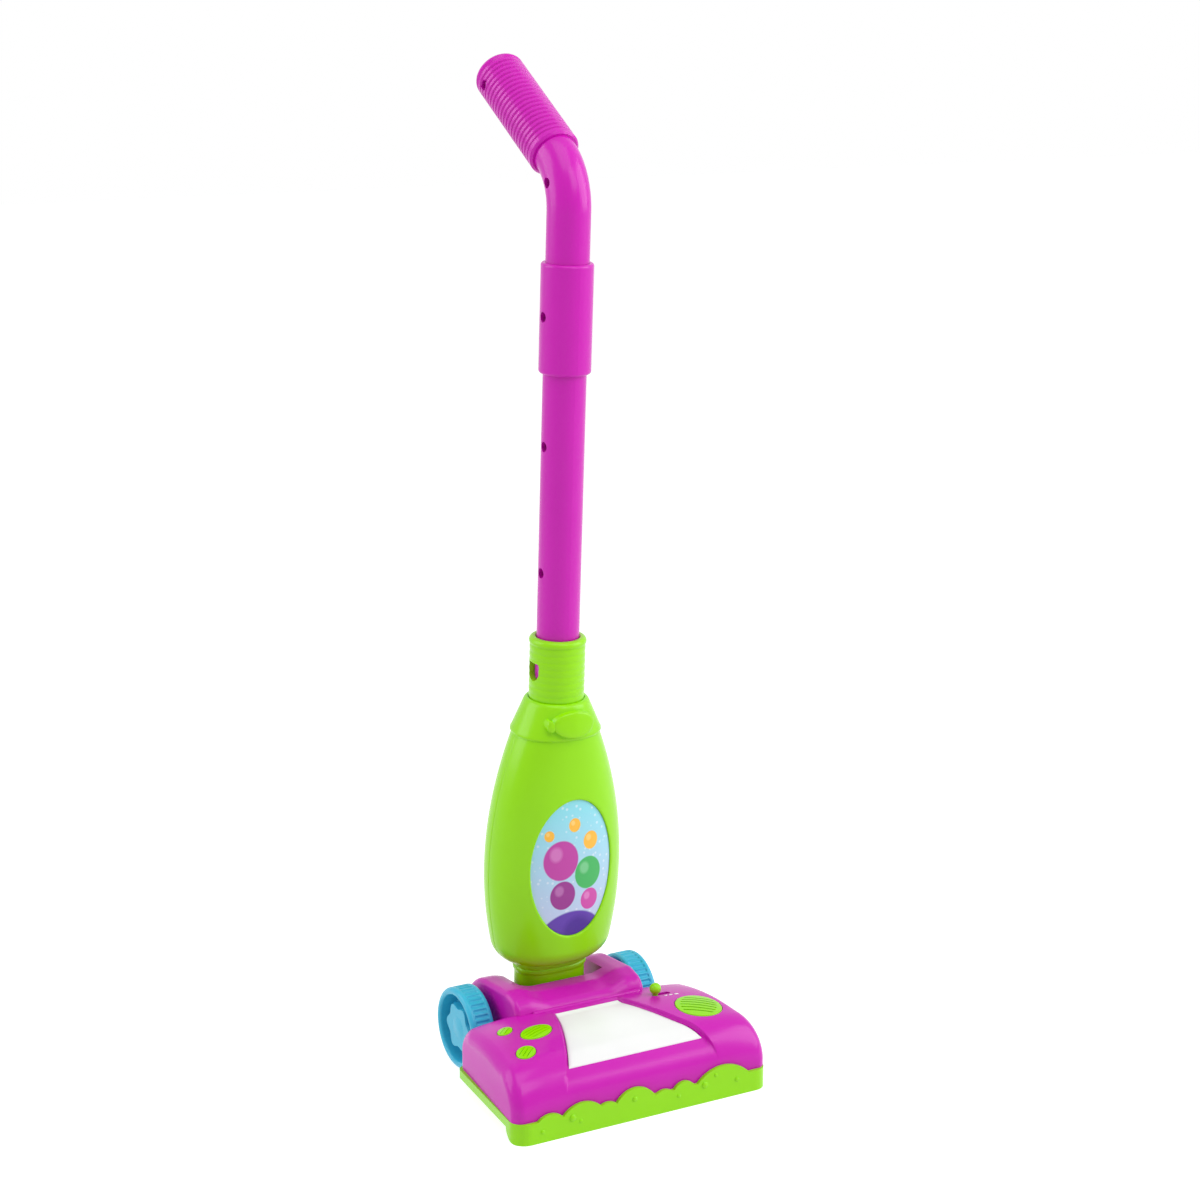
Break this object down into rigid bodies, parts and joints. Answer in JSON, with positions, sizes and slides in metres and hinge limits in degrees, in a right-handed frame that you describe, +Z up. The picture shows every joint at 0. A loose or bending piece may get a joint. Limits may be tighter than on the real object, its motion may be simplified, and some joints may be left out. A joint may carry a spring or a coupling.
{
  "type": "toy vacuum cleaner",
  "caption": "Upright toy vacuum with a wheeled nozzle base, a tilting bag body, a ribbed neck and a bent tube handle with a ribbed grip.",
  "frame": {"origin": "middle of the part's box on the floor, with the upright at rest", "axes": "+Z up along the upright, -Y to the front of the nozzle, +X to the side of the speaker"},
  "size_m": [0.167, 0.1778, 0.5904],
  "materials": {
    "magenta": "gloss",
    "lime": "gloss",
    "sky": "gloss",
    "white": "gloss",
    "picture": "printed film",
    "steel": "plain",
    "dark": "matt",
    "board": "matt",
    "lamp": "gloss",
    "cell": "gloss"
  },
  "bodies": {
    "base": {"base_cover": "magenta", "bottom_chassis": "lime", "window_panel": "white", "speaker_grille": "lime", "speaker": "dark", "circuit_board": "board", "lamps": "lamp", "switch_body": "dark", "battery_cells": "cell", "battery_contacts": "steel", "oval_large": "lime", "oval_medium": "lime", "oval_small": "lime", "axle": "steel", "axle_caps": "sky", "chassis_screws": "steel"},
    "battery_door": {"battery_door": "lime", "battery_door_screw": "steel"},
    "wheel_left": {"wheel_left": "sky"},
    "wheel_right": {"wheel_right": "sky"},
    "switch_knob": {"switch_knob": "lime"},
    "upright": {"hinge_foot": "lime", "bag_front": "lime", "bag_rear": "lime", "shoulder_cover": "lime", "neck_socket": "lime", "badge": "lime", "picture_panel": "picture", "lower_tube_left": "magenta", "lower_tube_right": "magenta", "upper_handle_left": "magenta", "upper_handle_right": "magenta", "tube_screws": "steel", "handle_screws": "steel", "bag_screws": "steel", "lock_spring": "steel"},
    "lock_button": {"lock_button": "magenta"}
  },
  "joints": [
    {"name": "upright_tilt", "type": "hinge", "parent": "base", "child": "upright", "pos_m": [0, 0.02812, 0.0246], "axis": [-1, 0, 0], "range_deg": [0, 55]},
    {"name": "wheel_left_spin", "type": "hinge", "parent": "base", "child": "wheel_left", "pos_m": [0, 0.02812, 0.0246], "axis": [1, 0, 0], "continuous": true},
    {"name": "wheel_right_spin", "type": "hinge", "parent": "base", "child": "wheel_right", "pos_m": [0, 0.02812, 0.0246], "axis": [1, 0, 0], "continuous": true},
    {"name": "switch_slide", "type": "slide", "parent": "base", "child": "switch_knob", "axis": [1, 0, 0], "range_m": [0, 0.008]},
    {"name": "battery_door_lift", "type": "slide", "parent": "base", "child": "battery_door", "axis": [0, 0, -1], "range_m": [0, 0.03]},
    {"name": "lock_button_press", "type": "slide", "parent": "upright", "child": "lock_button", "axis": [1, 0, 0], "range_m": [0, 0.003], "stiffness_N_per_m": 300, "springref_m": -0.001, "deforming": ["lock_spring"]}
  ]
}
